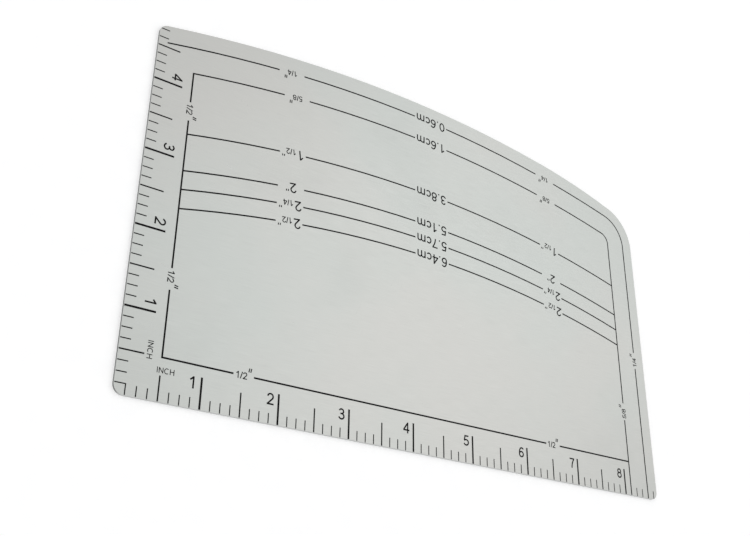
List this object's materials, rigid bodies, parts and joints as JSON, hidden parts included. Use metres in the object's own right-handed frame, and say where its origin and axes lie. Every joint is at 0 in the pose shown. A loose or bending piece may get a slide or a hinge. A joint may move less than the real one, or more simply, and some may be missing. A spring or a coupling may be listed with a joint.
{
  "type": "sewing gauge",
  "caption": "Flat aluminium hem gauge with a curved edge, inch scales on two edges and hem lines printed parallel to the curve.",
  "frame": {"origin": "on the underside, at the centre of the plate's length and width", "axes": "+X along the bottom scale towards its high numbers, +Y across the plate towards the curved hem edge, +Z out of the printed face"},
  "size_m": [0.2214, 0.1347, 0.001],
  "materials": {
    "plate": "satin anodised sheet, lightly rounded edges",
    "ink": "matt black screen-printed ink"
  },
  "bodies": {
    "root": {"bottom_eighth_marks": "ink", "bottom_half_inch_marks": "ink", "bottom_inch_marks": "ink", "bottom_numerals": "ink", "bottom_unit_name": "ink", "five_eighths_centimetres": "ink", "five_eighths_labels": "ink", "five_eighths_line": "ink", "half_inch_labels": "ink", "half_inch_line": "ink", "one_and_a_half_centimetres": "ink", "one_and_a_half_labels": "ink", "one_and_a_half_line": "ink", "plate": "plate", "quarter_inch_centimetres": "ink", "quarter_inch_labels": "ink", "quarter_inch_line": "ink", "side_eighth_marks": "ink", "side_half_inch_marks": "ink", "side_inch_marks": "ink", "side_numerals": "ink", "side_unit_name": "ink", "two_and_a_half_centimetres": "ink", "two_and_a_half_labels": "ink", "two_and_a_half_line": "ink", "two_and_a_quarter_centimetres": "ink", "two_and_a_quarter_labels": "ink", "two_and_a_quarter_line": "ink", "two_inch_centimetres": "ink", "two_inch_labels": "ink", "two_inch_line": "ink"}
  },
  "joints": []
}
